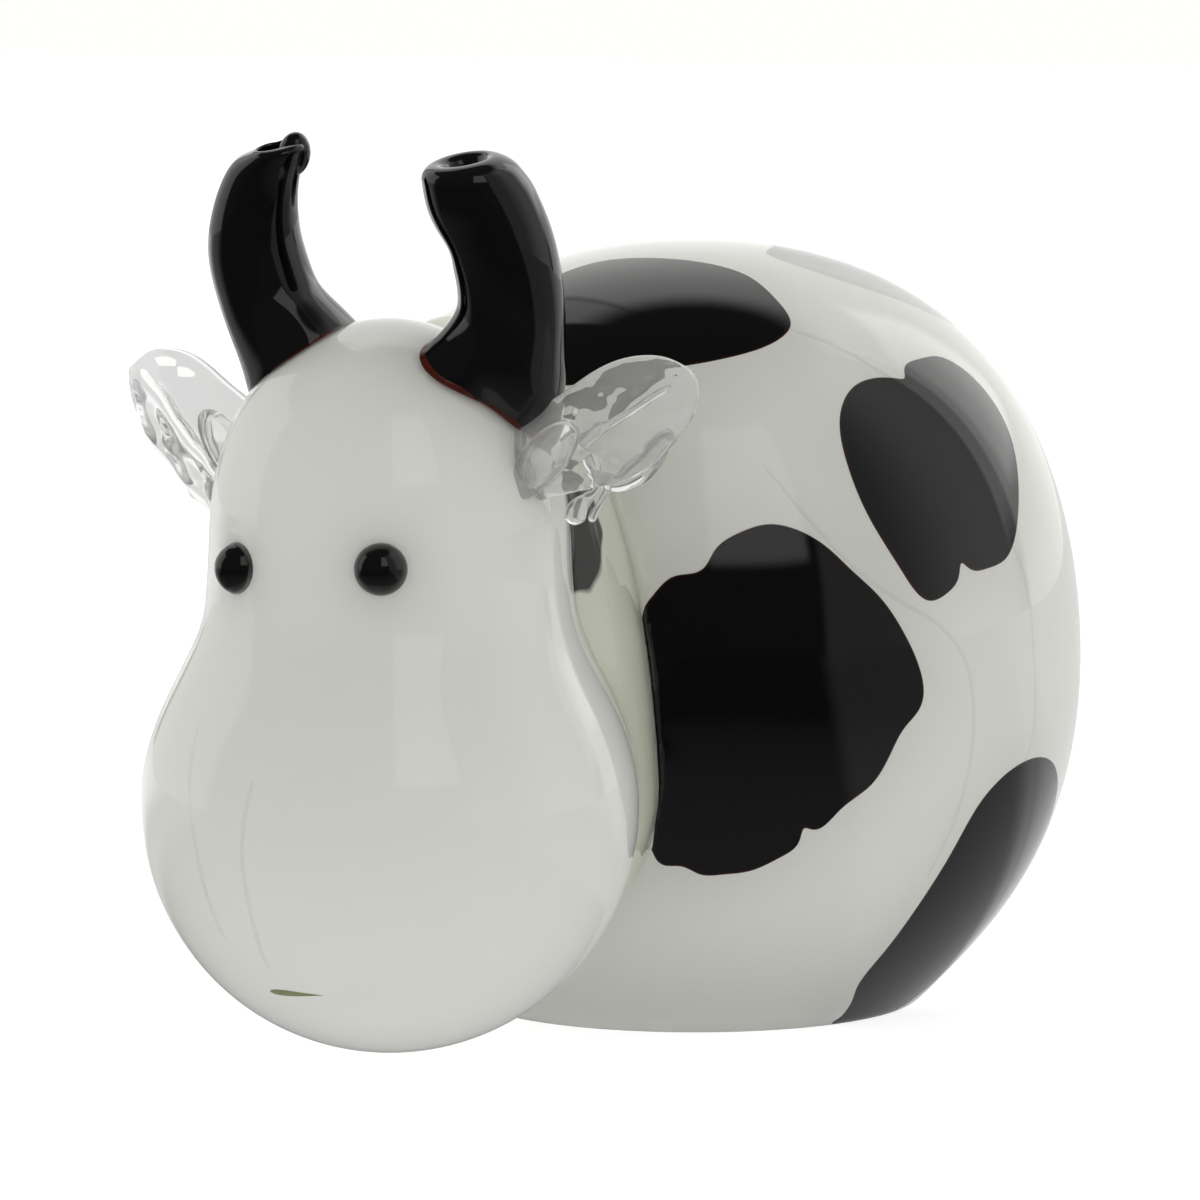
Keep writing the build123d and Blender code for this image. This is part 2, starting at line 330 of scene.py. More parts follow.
flank_shares = (
    (-0.60, 0.16), (-0.53, 0.25), (-0.46, 0.31), (-0.38, 0.37),
    (-0.30, 0.385), (-0.285, 0.395), (-0.25, 0.44), (-0.16, 0.49),
    (-0.07, 0.51), (0.04, 0.49), (0.12, 0.45), (0.21, 0.38), (0.31, 0.30), (0.40, 0.19), (0.455, 0.09),
    (0.465, 0.0), (0.455, -0.02), (0.40, -0.07), (0.35, -0.14),
    (0.28, -0.23), (0.17, -0.30), (0.075, -0.35),
    (0.055, -0.345), (0.04, -0.38), (-0.02, -0.43), (-0.12, -0.47), (-0.21, -0.48), (-0.28, -0.48),
    (-0.35, -0.455), (-0.39, -0.455), (-0.47, -0.36), (-0.56, -0.20), (-0.62, 0.00),
)
lower_shares = (
    (-0.34, -0.53), (-0.39, -0.45), (-0.465, -0.36), (-0.48, -0.33),
    (-0.50, -0.22), (-0.505, -0.02), (-0.46, 0.18),
    (-0.37, 0.34), (-0.26, 0.41), (-0.12, 0.45), (0.12, 0.45), (0.34, 0.37), (0.50, 0.19), (0.52, -0.06),
    (0.40, -0.25), (0.22, -0.41), (0.11, -0.48), (-0.12, -0.55),
)
pebble_shares = (
    (0.50, 0.05), (0.38, 0.34), (0.12, 0.46), (-0.08, 0.40), (-0.30, 0.48), (-0.48, 0.22),
    (-0.46, -0.10), (-0.34, -0.38), (-0.06, -0.50), (0.16, -0.40), (0.36, -0.44), (0.46, -0.20),
)
shards = {
    "patch_back": (15, 60, 34.0, 25.0, back_shares),
    "patch_left_upper": (77, 33, 28.0, 27.0, upper_shares),
    "patch_left_flank": (44, -2, 33.0, 39.0, flank_shares),
    "patch_left_lower": (92, -35, 26.0, 36.0, lower_shares),
    "patch_rump_top": (134, 67, 30.0, 25.0, pebble_shares, 0.8),
    "patch_rump": (158, -8, 34.0, 36.0, back_shares),
    "patch_right_upper": (-92, 44, 32.0, 27.0, flank_shares),
    "patch_right_flank": (-52, 6, 31.0, 36.0, upper_shares),
    "patch_right_lower": (-110, -20, 29.0, 31.0, pebble_shares),
}


def onto_turned(start, way, profile):
    """Halves the stretch between inside and outside 40 times along way, until it meets the skin."""
    near, far = np.zeros(start.shape[:-1]), np.full(start.shape[:-1], well_outside)
    for _ in range(40):
        middle = (near + far) / 2
        p = start + middle[..., None] * way
        inside = np.hypot(p[..., 0], p[..., 1]) < radius_at(profile, p[..., 2], left=-1, right=-1)
        near = np.where(inside, middle, near)
        far = np.where(inside, far, middle)
    return near


def shard(name, heading, pitch, width, height, shares, grey_side=0.0):
    """A plate on the opal: rings of the outline times a share, each pushed out to the skin."""
    h, p = np.radians(heading), np.radians(pitch)
    out = np.array([np.sin(h) * np.cos(p), -np.cos(h) * np.cos(p), np.sin(p)])
    level = np.array([np.cos(h), np.sin(h), 0.0])
    up = np.cross(out, level)
    outline = closed_curve(np.array(shares) * (width, height), shard_steps)
    flat = shard_rings[:, None, None] * outline
    heart = np.array([0, 0, widest_height])
    start = heart + flat[..., :1] * level + flat[..., 1:] * up
    reach = onto_turned(start, out, shard_bed)
    lift = np.where(np.arange(len(shard_rings)) == 0, -shard_sink, shard_relief)[:, None]
    rings = start + (reach + lift)[..., None] * out
    top = heart + out * onto_turned(heart, out, shard_bed)
    piece = skin(name, rings, first=top - shard_sink * out, last=top + shard_relief * out)
    rim = (1 - shard_rings[:, None]) * np.linalg.norm(outline, axis=-1)
    note(piece, "rim", np.r_[rim.ravel(), 0, width / 2])
    # one side of the shard is coloured towards pale grey, by this share
    greying = np.clip(grey_side_start - flat[..., 0] / width, 0, grey_side_share) / grey_side_share
    note(piece, "grey_side", np.r_[(grey_side * greying).ravel(), 0, 0])
    return piece


patches = [shard(name + "_glass", *outline) for name, outline in shards.items()]
for patch, node in zip(patches, shards):
    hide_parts(node)

# %% [markdown]
# The head is a second, smaller bubble: a round pear, cased like the body. Below its widest place it
# is half a ball, above it one smooth curve runs up the face to the crown. Where it was pressed
# against the body while hot, its back is drawn in so that it keeps clear of the body's skin.
# Two marks of the tool stay in the clear skin: a shallow dimple low on the muzzle and a pinched fold
# beside the brow. Around each eye the skin was pushed up to a low ring by the bead that went in.

# %% Head
head_reach = 66.8
head_clearance = 3.6
head_height = 79.4
brow_width = 39.6
muzzle_width = 53.8
head_casing_wall = 1.1
head_back_wall = 2.2
face_steps = 130
face_shares = ((1.23, 0.205), (1.05, 0.355), (0.99, 0.49), (0.965, 0.635), (0.73, 0.86))
press_slope = 0.6
muzzle_height = head_clearance + muzzle_width / 2
head_place = (0.0, -head_reach, muzzle_height)


def head_profile(inset):
    """Radius and height from the crown to the chin: one curve over the face, then a quarter circle."""
    ball = muzzle_width / 2 - inset
    brow = brow_width / 2 - inset
    crown = head_height - muzzle_width / 2 - inset
    face = [(ball, 0), *((share * brow, rise * crown) for share, rise in face_shares), (0, crown)]
    upper = smooth_curve(face, face_steps, start_slope=(0, 1), end_slope=(-1, 0))[::-1]
    drop = np.linspace(0, np.pi / 2, 60)
    chin = np.stack([ball * np.cos(drop), -ball * np.sin(drop)], -1)
    return np.vstack([upper, chin[1:]])


def seated(rings, gap):
    """Draws each point forward until it lies outside the body's skin by the gap."""
    radius = radius_at(profile, rings[..., 2]) + gap
    front = -np.sqrt(np.maximum(radius ** 2 - rings[..., 0] ** 2, 0))
    moved = rings.copy()
    moved[..., 1] = np.minimum(rings[..., 1], front)
    return moved


def pressed(rings, spot, width, depth):
    """Pushes a soft hollow into the skin: depth times exp(-(distance / width)^2), towards the axis."""
    inward = np.array([0.0, -head_reach, 0.0]) - rings
    inward[..., 2] = (muzzle_height - rings[..., 2]) * press_slope
    away = np.linalg.norm(rings - np.array(spot), axis=-1, keepdims=True)
    return rings + unit(inward) * depth * np.exp(-((away / width) ** 2))


def pear(inset, gap, steps=round_steps):
    """The head's surface, inset under its skin, drawn forward where it comes within gap of the body."""
    rings = turned(head_profile(inset)[1:-1], head_place, steps)
    return seated(rings, gap)


def face_point(aside, height):
    """The point on the front of the head at a distance aside from the middle and a height."""
    radius = radius_at(head_profile(0) + (0, muzzle_height), height)
    return np.array([aside, -head_reach - np.sqrt(radius ** 2 - aside ** 2), height])


eye_places = {"left": (9.45, 57.7), "right": (-8.7, 57.0)}
eye_swell_radius = 3.2
eye_swell_width = 0.55
eye_swell = 0.22
muzzle_dimple = ((7.5, -84.5, 11.5), 3.2, 0.35)
brow_pinch = ((-16.5, -78.0, 50.5), 2.6, 0.30)
head_rings = blown(pear(0, head_back_wall, skin_steps), -head_reach)
for aside, height in eye_places.values():
    away = np.linalg.norm(head_rings - face_point(aside, height), axis=-1, keepdims=True)
    away = (away - eye_swell_radius) / eye_swell_width
    outwards = unit(head_rings - (0, -head_reach, height))
    head_rings = head_rings + outwards * eye_swell * np.exp(-(away ** 2))
for mark in (muzzle_dimple, brow_pinch):
    head_rings = pressed(head_rings, *mark)
head_top = (0, -head_reach, head_clearance + head_height)
head_glass = skin("head_glass", head_rings, first=head_top, last=(0, -head_reach, head_clearance))
head_white = skin(
    "head_white",
    pear(head_casing_wall, head_back_wall + head_casing_wall),
    first=(0, -head_reach, head_clearance + head_height - head_casing_wall),
    last=(0, -head_reach, head_clearance + head_casing_wall),
)
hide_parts("head_opal")

# %% [markdown]
# Between the two bubbles sits the glass that welds them: an egg of clear glass, drawn out upwards,
# thick enough for its faint green to show. It is half a ball below and a stretched dome above.

# %% Neck
neck_width = 41.2
neck_above = 52.2
neck_middle = 30.5
neck_reach = 50.0
neck_lean = np.radians(3.8)
rise = np.linspace(np.pi / 2, -np.pi / 2, 110)
neck_stretch = np.where(rise > 0, neck_above, neck_width / 2)
neck_profile = np.stack([neck_width / 2 * np.cos(rise), neck_stretch * np.sin(rise)], -1)
neck_rings = turned(neck_profile[1:-1], steps=180)


def leant(points):
    """Leans points back about the X axis, then sets them in the neck's place."""
    c, s = np.cos(neck_lean), np.sin(neck_lean)
    y = c * points[..., 1] - s * points[..., 2]
    z = s * points[..., 1] + c * points[..., 2]
    return np.stack([points[..., 0], y - neck_reach, z + neck_middle], -1)


def egg(name, share):
    """The neck's egg, drawn in to a share of its size about its middle."""
    above, below = np.array([0, 0, neck_above]), np.array([0, 0, -neck_width / 2])
    return skin(name, leant(neck_rings * share), first=leant(above * share), last=leant(below * share))


neck_glass = egg("neck_glass", 1.0)

# %% [markdown]
# On the real cow the three clear gathers ran together while they were hot: no skin is left between
# them, and light goes from one into the next unbent. Closed skins that only overlapped would bend it
# again at every hidden wall. So they are added up to one body with an exact boolean, and the seam is
# eased as hot glass eases it: points near it move to the mean of their neighbours, over and over.

# %% Weld the clear gathers
seam_angle = np.radians(22.0)
seam_rounds = 14
seam_spread = 3
merge_distance = 0.03


def welded(name, base, *others):
    """The union of closed skins, with the creases between them eased.

    The boolean hands its points back in no fixed order. They are sorted by place, so that the steps
    after it come out the same in every run.
    """
    for other in others:
        join = base.modifiers.new("weld", "BOOLEAN")
        join.operation, join.solver, join.object = "UNION", "EXACT", other
    bpy.context.view_layer.update()
    whole = bpy.data.meshes.new_from_object(base.evaluated_get(bpy.context.evaluated_depsgraph_get()))
    whole.name = name
    parts = bmesh.new()
    parts.from_mesh(whole)
    for elements, place_of in ((parts.verts, lambda v: v.co[:]),
                               (parts.faces, lambda f: f.calc_center_median()[:])):
        for rank, element in enumerate(sorted(elements, key=place_of)):
            element.index = rank
        elements.sort()
    bmesh.ops.triangulate(parts, faces=parts.faces)
    bmesh.ops.remove_doubles(parts, verts=parts.verts, dist=merge_distance * MM)
    near = {v for edge in parts.edges if edge.calc_face_angle(0) > seam_angle for v in edge.verts}
    for _ in range(seam_spread):
        near |= {edge.other_vert(v) for v in near for edge in v.link_edges}
    near = list(near)
    for _ in range(seam_rounds):
        bmesh.ops.smooth_vert(
            parts, verts=near, factor=0.5, use_axis_x=True, use_axis_y=True, use_axis_z=True
        )
    bmesh.ops.recalc_face_normals(parts, faces=parts.faces)
    parts.to_mesh(whole)
    parts.free()
    whole.shade_smooth()
    for other in (base, *others):
        bpy.data.objects.remove(other)
    piece = bpy.data.objects.new(name, whole)
    bpy.context.scene.collection.objects.link(piece)
    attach(piece, "root")
    print(name, "has", len(whole.polygons), "faces,", len(near), "points eased along its seams")
    return piece


neck_core_wall = 1.4
neck_core = egg("neck_core", 1 - neck_core_wall / (neck_width / 2))
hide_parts("neck_lens")
clear_glass_skin = welded("clear_glass", body_glass, head_glass, neck_glass)
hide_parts("body_casing", "head_casing", "neck_lens")

# %% [markdown]
# A horn is a black glass tube, stuck on hot at its wide foot, bent to a crescent and sheared off at
# the tip, where its bore shows. Rings are carried along a smooth path. Past the tip the rings turn
# over the lip and go down the bore. Long shallow grooves, where the tongs dragged the soft glass,
# are taken off the radius. Each column of points starts just above the head, so that the foot
# follows the crown, and the lowest band is a piece of its own: there the black is so thin that
# it turns red-brown.

# %% Horns
horn_width = 12.0
horn_spread = 10.2
horn_sway = 6.0
horn_reach = 67.7
horn_forward = 5.0
horn_root = 76.0
horn_rise = 23.5
horn_cut_lean = np.radians(15.0)
horn_bore = 3.4
horn_bore_depth = 7.0
horn_steps = 160
toe_height = 2.4
horn_rows = 150
left_path_shares = (
    (0.16, -0.62, -0.34), (0.26, -0.54, -0.17), (0.44, -0.44, 0.00),
    (0.65, -0.30, 0.17), (0.86, -0.14, 0.34),
    (0.92, 0.02, 0.47), (0.89, 0.18, 0.60), (0.78, 0.34, 0.72), (0.61, 0.52, 0.84), (0.49, 0.78, 0.975),
)
right_path_shares = (
    (-1.17, -0.26, -0.34), (-0.77, -0.10, -0.17), (-0.35, 0.08, 0.00),
    (0.05, 0.24, 0.17), (0.44, 0.38, 0.34),
    (0.61, 0.48, 0.47), (0.70, 0.58, 0.60), (0.67, 0.68, 0.72),
    (0.55, 0.78, 0.85), (0.35, 0.88, 0.96), (0.01, 1.02, 1.06),
)
left_width_shares = (
    (0.00, 1.16), (0.26, 1.20), (0.38, 1.10), (0.51, 0.97),
    (0.70, 0.94), (0.84, 0.95), (0.92, 0.95), (1.00, 0.87),
)
right_width_shares = (
    (0.00, 1.24), (0.25, 1.22), (0.38, 1.08), (0.50, 0.93),
    (0.67, 0.87), (0.80, 0.76), (0.90, 0.65), (1.00, 0.52),
)
# each groove: its angle, its width, its place and its length along the horn, and its depth
left_grooves = ((2.9, 0.40, 0.80, 0.06, 0.13), (0.2, 0.35, 0.10, 0.10, 0.05))
right_grooves = (
    (5.2, 0.26, 0.86, 0.14, 0.22), (5.6, 0.20, 0.38, 0.16, 0.08),
    (5.0, 0.16, 0.30, 0.16, 0.07),
)
# each foot: its toes (depth, angle, narrowness), the height of its thin band, and the bore's offset
left_toe = (((2.8, 118, 12.0), (-2.2, 35, 3.0)), 0.40, (-0.5, 0.0, 0.0))
right_toe = (((0.3, 90, 1.0),), 0.09, (0.5, 0.0, 0.0))
cut_start = 0.72
fringe_waves = ((3, 0.7, 0.5), (7, 2.0, 0.4), (13, 0.0, 0.25))
fringe_rows = 10
fringe_proud = 1.03
fringe_inner = 0.90
foot_sink = 0.25
overlap_rows = 0.4
lip_fullness = 0.9
rows_per_rise = 0.9


def head_height_over(points):
    """How far points lie outside the head's skin, measured level and across, in millimetres."""
    outline = head_profile(0) + (0, muzzle_height)
    across = np.hypot(points[..., 0], points[..., 1] + head_reach)
    level = across - radius_at(outline, points[..., 2], right=0)
    face = outline[:face_steps]
    upright = points[..., 2] - radius_at(face[:, ::-1], across)
    return np.where(np.abs(level) < np.abs(upright), level, upright)


def horn_rings(path_shares, width_shares, grooves):
    """Centre lines and frames along the path, and the radius for each step along and around."""
    path = np.array([
        (horn_spread + sway * horn_sway, -horn_reach - ahead * horn_forward, horn_root + rise * horn_rise)
        for sway, ahead, rise in path_shares
    ])
    centre = smooth_curve(path, horn_rows)
    along = np.linspace(0, 1, horn_rows)
    way = unit(np.gradient(centre, axis=0))
    sheared = np.clip((along[:, None] - cut_start) / (1 - cut_start), 0, 1) ** 2
    way = unit(way + sheared * ((0.0, -np.sin(horn_cut_lean), np.cos(horn_cut_lean)) - way))
    side = unit(np.cross(way, (0.0, -1.0, 0.0)))
    front = np.cross(side, way)
    angle = once_round(horn_steps)
    knots, widths = np.array(width_shares).T
    taper = smooth_curve(np.stack([knots * 10, widths], -1), 400)
    radius = np.interp(along, taper[:, 0] / 10, taper[:, 1])[:, None] * horn_width / 2 + 0 * angle
    for at_angle, wide, at_along, length, depth in grooves:
        turn = np.angle(np.exp(1j * (angle - at_angle)))
        away = (turn / wide) ** 2 + ((along[:, None] - at_along) / length) ** 2
        radius = radius * (1 - depth * np.exp(-away))
    ring = np.cos(angle)[:, None] * side[:, None, :] + np.sin(angle)[:, None] * front[:, None, :]
    return centre, way, ring, radius


def horn(side_name, path_shares, width_shares, grooves, foot_shape, band, bore_aside, mirror):
    """The horn above its foot band, and the band: rows between two heights over the head."""
    centre, way, ring, radius = horn_rings(path_shares, width_shares, grooves)
    angle = once_round(horn_steps)
    over = head_height_over(centre[:, None, :] + radius[..., None] * ring)
    for depth, at_angle, power in foot_shape:
        side = (0.5 + 0.5 * np.cos(angle - np.radians(at_angle))) ** power
        radius = radius + depth * side * np.exp(-((np.maximum(over, 0) / toe_height) ** 1.5))
    rings = centre[:, None, :] + radius[..., None] * ring
    over = head_height_over(rings)
    ragged = band * (1 + sum(tall * np.sin(times * angle + start) for times, start, tall in fringe_waves))

    def level_row(height):
        """The row, as a real number, at which each column first rises past the height."""
        above = over > height
        row = np.where(above.any(0), above.argmax(0), 1)
        row = np.maximum(row, 1)
        column = np.arange(horn_steps)
        low, high = over[row - 1, column], over[row, column]
        return row - 1 + np.clip((height - low) / np.maximum(high - low, 1e-6), 0, 1)

    def at_rows(rows, grown):
        """Points between rows: the two rows' points mixed by the row's fraction, and swollen."""
        low = np.clip(np.floor(rows).astype(int), 0, horn_rows - 2)
        part = (rows - low)[..., None]
        column = np.arange(horn_steps) + 0 * low
        middle = (1 - part) * centre[low] + part * centre[low + 1]
        point = (1 - part) * rings[low, column] + part * rings[low + 1, column]
        return middle + (point - middle) * grown

    foot, edge = level_row(-foot_sink), level_row(ragged)
    share = np.linspace(0, 1, fringe_rows)[:, None]
    low_rows = foot + (edge - foot) * share
    proud = fringe_proud + (1 - fringe_proud) * share[..., None]
    shells = np.concatenate([at_rows(low_rows, proud), at_rows(low_rows[::-1], fringe_inner)])
    fringe = skin(f"horn_{side_name}_foot", mirrored(shells, mirror), ring_loop=True)
    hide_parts(f"horn_{side_name}_fringe")

    step = np.linspace(0, 1, 120)[:, None] ** 1.2
    rows = (edge - overlap_rows) + (horn_rows - 1 - edge + overlap_rows) * step
    outside = at_rows(rows, 1.0)
    tip, end = centre[-1], way[-1]
    outer = tip + radius[-1][:, None] * ring[-1]
    inner = tip + np.array(bore_aside) + horn_bore / 2 * ring[-1]
    lip = np.linalg.norm(outer - inner, axis=-1)[:, None]
    turn = np.linspace(0, np.pi, 24)[1:, None, None]
    leaving = unit(outer - centre[-3] - radius[-3][:, None] * ring[-3])
    onwards = end + (leaving - end) * (0.5 + 0.5 * np.cos(turn))
    over_lip = np.sin(turn) * lip / 2 * lip_fullness * onwards
    rolled = (outer + inner) / 2 + np.cos(turn) * (outer - inner) / 2 + over_lip
    depth = np.linspace(0, horn_bore_depth, 14)[1:, None]
    bore_rows = horn_rows - 1 - depth[:, 0] / horn_rise * horn_rows * rows_per_rise
    bore_rows = np.clip(bore_rows, 0, horn_rows - 1).astype(int)
    bore = (centre[bore_rows] + np.array(bore_aside) * (1 - depth / horn_bore_depth))[:, None, :]
    bore = bore + horn_bore / 2 * ring[bore_rows]
    whole = np.concatenate([outside, rolled, bore])
    foot_middle = outside[0].mean(0)
    piece = skin(
        f"horn_{side_name}_glass",
        mirrored(whole, mirror),
        first=mirrored(foot_middle, mirror),
        last=mirrored(centre[bore_rows[-1]], mirror),
    )
    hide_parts(f"horn_{side_name}")
    return piece, fringe


def mirrored(points, wanted):
    """The same points on the other side of the cow's middle plane."""
    return points * np.array([-1.0, 1.0, 1.0]) if wanted else points


left_shape = (left_path_shares, left_width_shares, left_grooves, *left_toe)
right_shape = (right_path_shares, right_width_shares, right_grooves, *right_toe)
left_horn, left_foot = horn("left", *left_shape, mirror=False)
right_horn, right_foot = horn("right", *right_shape, mirror=True)

# %% [markdown]
# An eye is a bead of black glass that sank halfway into the hot skin: a ball. The same ball, drawn
# out to an egg, is the knob of glass left at the tip of the right horn where it was pulled off.

# %% Eyes
eye_diameter = 5.6
eye_flat = 1.0
eye_depth = 0.95


def bead(centre, facing, across, flat):
    """A ball whose points are scaled by flat along the facing direction, and its two poles."""
    tilt = np.linspace(0, np.pi, 40)[1:-1, None]
    angle = once_round(64)
    facing = unit(np.array(facing))
    side = unit(np.cross(facing, (0.0, 0.0, 1.0)))
    up = np.cross(side, facing)
    radial = np.cos(angle)[:, None] * side + np.sin(angle)[:, None] * up
    rings = np.sin(tilt)[..., None] * radial + flat * np.cos(tilt)[..., None] * facing
    poles = np.array([flat * facing, -flat * facing])
    return np.array(centre) + across / 2 * rings, np.array(centre) + across / 2 * poles


for name, (aside, height) in eye_places.items():
    face = face_point(aside, height)
    outwards = face - (0, -head_reach, height)
    place = face - unit(outwards) * eye_depth
    rings, poles = bead(place, outwards, eye_diameter, eye_flat)
    eye = skin(f"eye_{name}_bead", rings, first=poles[0], last=poles[1])
    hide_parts(f"eye_{name}")

knob_place = (8.8, -71.7, 100.5)
knob_across = 3.5
knob_length = 1.4
rings, poles = bead(mirrored(np.array(knob_place), True), (-0.25, 0.1, -1.0), knob_across, knob_length)
knob = skin("horn_right_knob", rings, first=poles[0], last=poles[1])
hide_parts("horn_right")

# %% [markdown]
# The mouth is no more than a small olive stain that was caught under the casing: a slit-shaped plate
# on the head's opal.

# %% Mouth
mouth_width = 6.4
mouth_opening = 0.75
mouth_height = 12.8
mouth_steps = 72
mouth_rings = np.array([1.0, 1.0, 0.8, 0.5, 0.2])
mouth_lift = np.array([-0.3, 0.04, 0.05, 0.05, 0.05])
angle = once_round(mouth_steps)
opening = mouth_opening / 2 * np.sin(angle) * (1.2 - np.cos(angle)) / 1.6
slit = np.stack([mouth_width / 2 * np.cos(angle), opening], -1)
flat = mouth_rings[:, None, None] * slit


def onto_head(points, inset):
    """The depth at which points, pushed straight ahead, come out of the head's layer at inset."""
    radius = radius_at(head_profile(inset) + (0, muzzle_height), points[..., 2])
    return -head_reach - np.sqrt(np.maximum(radius ** 2 - points[..., 0] ** 2, 0))


mouth_points = np.stack([flat[..., 0], 0 * flat[..., 0], mouth_height + flat[..., 1]], -1)
mouth_points[..., 1] = onto_head(mouth_points, head_casing_wall) - mouth_lift[:, None]
middle = np.array([0.0, 0.0, mouth_height])
middle[1] = onto_head(middle, head_casing_wall)
mouth = skin(
    "mouth_stain", mouth_points, first=middle - (0, mouth_lift[0], 0), last=middle - (0, mouth_lift[-1], 0)
)
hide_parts("mouth_mark")

# %% [markdown]
# An ear is a bit of clear glass pulled out to a leaf and folded while soft. Its section is a cupped
# closed curve, carried along a short path and tapered to a round tip. The tool left ripples and a
# slanting fold, which is what breaks up the light in clear glass, so those are added as waves on
# top of the leaf.

# %% Ears
ear_width = 13.0
ear_thickness = 4.4
ear_spread = 17.0
ear_reach = 66.0
ear_root = 66.0
ear_sweep = 4.2
ear_sizes = {"left": (17.6, 11.6, 0.66, 1.8), "right": (19.0, 10.0, 1.16, -1.6)}
ear_section_shares = (
    (-0.50, -0.04), (-0.45, -0.26), (-0.30, -0.48), (0.00, -0.66),
    (0.30, -0.48), (0.45, -0.26), (0.50, -0.04),
    (0.46, 0.12), (0.39, 0.02), (0.27, -0.20), (0.00, -0.42), (-0.27, -0.20), (-0.39, 0.02), (-0.46, 0.12),
)
ear_taper_shares = (
    (0.00, 0.86, 1.10), (0.25, 0.90, 1.00), (0.55, 0.95, 0.95),
    (0.80, 0.76, 0.85), (0.93, 0.50, 0.65), (1.00, 0.16, 0.36),
)
ear_rows = 90
ear_steps = 180
# the fold: its height, its width, its place across the root and how far it slants towards the tip
ear_fold = (1.1, 0.07, 0.20, 0.30)
# waves: height, angle gained along the ear, and angle gained across it or around its section
ear_ripples = ((0.30, 9, 5), (0.22, 19, -9), (0.12, 31, 23))
ear_lenses = ((0.05, 13, 3), (0.03, 27, -5))
ear_sway = (0.25, 8.0, 1.5)
# across the leaf the ripples fade: the level at its middle, the slope and the least level
ripple_fade = (0.45, 2.2, 0.15)
tip_fade = 6


def waves(table, along, aside):
    """The sum of height * sin(first * along + second * aside) over a table of waves."""
    return sum(tall * np.sin(first * along + second * aside) for tall, first, second in table)


def ear(name, length, rise, root_width, lift, mirror):
    """Section times taper along the reach, plus ripples: sums of sines of the along and around steps."""
    root = np.array([ear_spread, -ear_reach, ear_root])
    reach = np.array([length, ear_sweep, rise])
    way = unit(reach)
    up = unit(np.array([0, 0, 1.0]) - way[2] * way)
    across = np.cross(way, up)
    section = closed_curve(ear_section_shares, ear_steps) * (ear_width, -ear_thickness)
    along = np.linspace(0, 1, ear_rows)
    taper = smooth_curve(ear_taper_shares, 500)
    a = along[:, None]
    at_root = (1 - a) ** 2
    widened = 1 + (root_width / ear_taper_shares[0][1] - 1) * at_root
    wide = np.interp(a, taper[:, 0], taper[:, 1]) * widened
    thick = np.interp(a, taper[:, 0], taper[:, 2])
    x, y = section[:, 0] * wide, section[:, 1] * thick
    cross = section[:, 0] / ear_width
    height, width, place, slant = ear_fold
    fold = height * np.exp(-((x / ear_width + place - slant * a) / width) ** 2) * np.sin(np.pi * a)
    ripple = waves(ear_ripples, a, cross) + waves(ear_lenses, a, once_round(ear_steps))
    at_middle, slope, least = ripple_fade
    lower = np.clip(at_middle - slope * cross, least, 1)
    y = y - (fold + ripple * lower) * thick * np.clip(tip_fade * (1 - a), 0, 1)
    sway, turns, start = ear_sway
    x = x + sway * np.sin(turns * a + start) * wide + lift * at_root
    rings = root + a[..., None] * reach + x[..., None] * up + y[..., None] * across
    rings, tip = mirrored(rings, mirror), mirrored(rings[-1].mean(0) + way * 0.5, mirror)
    piece = skin(f"ear_{name}_glass", rings, first=rings[0].mean(0), last=tip)
    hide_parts(f"ear_{name}")
    return piece


ears = [ear("left", *ear_sizes["left"], False), ear("right", *ear_sizes["right"], True)]

# %% [markdown]
# At the root of each ear a small gob was thumbed flat to hold it: an oval dish, thin in the middle
# and thick at its rim, leaning on the ear.

# %% Thumbed pads
ear_pad_width = 4.4
ear_pad_height = 9.4
ear_pad_rim = 0.95
ear_pad_web = 0.35
ear_pad_bulge = 0.16
ear_pad_cup = 0.9
pad_along = (0.66, 0.10, 0.75)
pad_facing = (0.45, -0.85, 0.15)


def thumbed_pad(name, middle, node, mirror):
    """An oval dish: rings from the middle to the rim, round the rim, and back to the middle.

    Half of its thickness is the web at the middle and grows with the cube of the way to the rim.
    """
    along, facing = unit(np.array((pad_along, pad_facing)))
    across = np.cross(along, facing)
    facing = np.cross(across, along)
    turn = once_round(96)[:, None]
    oval = np.cos(turn) * along * ear_pad_height / 2 + np.sin(turn) * across * ear_pad_width / 2
    share = np.linspace(0.05, 1, 18)
    half = ear_pad_web + (ear_pad_rim - ear_pad_web) * share ** 3
    round_rim = np.linspace(0, np.pi, 14)[1:-1]
    out = np.r_[share, 1 + ear_pad_bulge * np.sin(round_rim), share[::-1]]
    cup = ear_pad_cup * np.r_[share, 1 + 0 * round_rim, share[::-1]] ** 2
    rise = np.r_[half, ear_pad_rim * np.cos(round_rim), -half[::-1]] - cup
    rings = np.array(middle) + out[:, None, None] * oval + rise[:, None, None] * facing
    front, back = (np.array(middle) + sign * ear_pad_web * facing for sign in (1, -1))
    piece = skin(name, mirrored(rings, mirror), first=mirrored(front, mirror), last=mirrored(back, mirror))
    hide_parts(node)
    return piece


pads = [
    thumbed_pad("ear_left_pad", (20.4, -69.3, 68.6), "ear_left", False),
    thumbed_pad("ear_right_pad", (19.8, -69.3, 68.0), "ear_right", True),
]

# %% [markdown]
# Everything that is drawn out of hot glass is a thread: a circle carried along a smooth path, with a
# radius that follows its own list and closes to a round end.

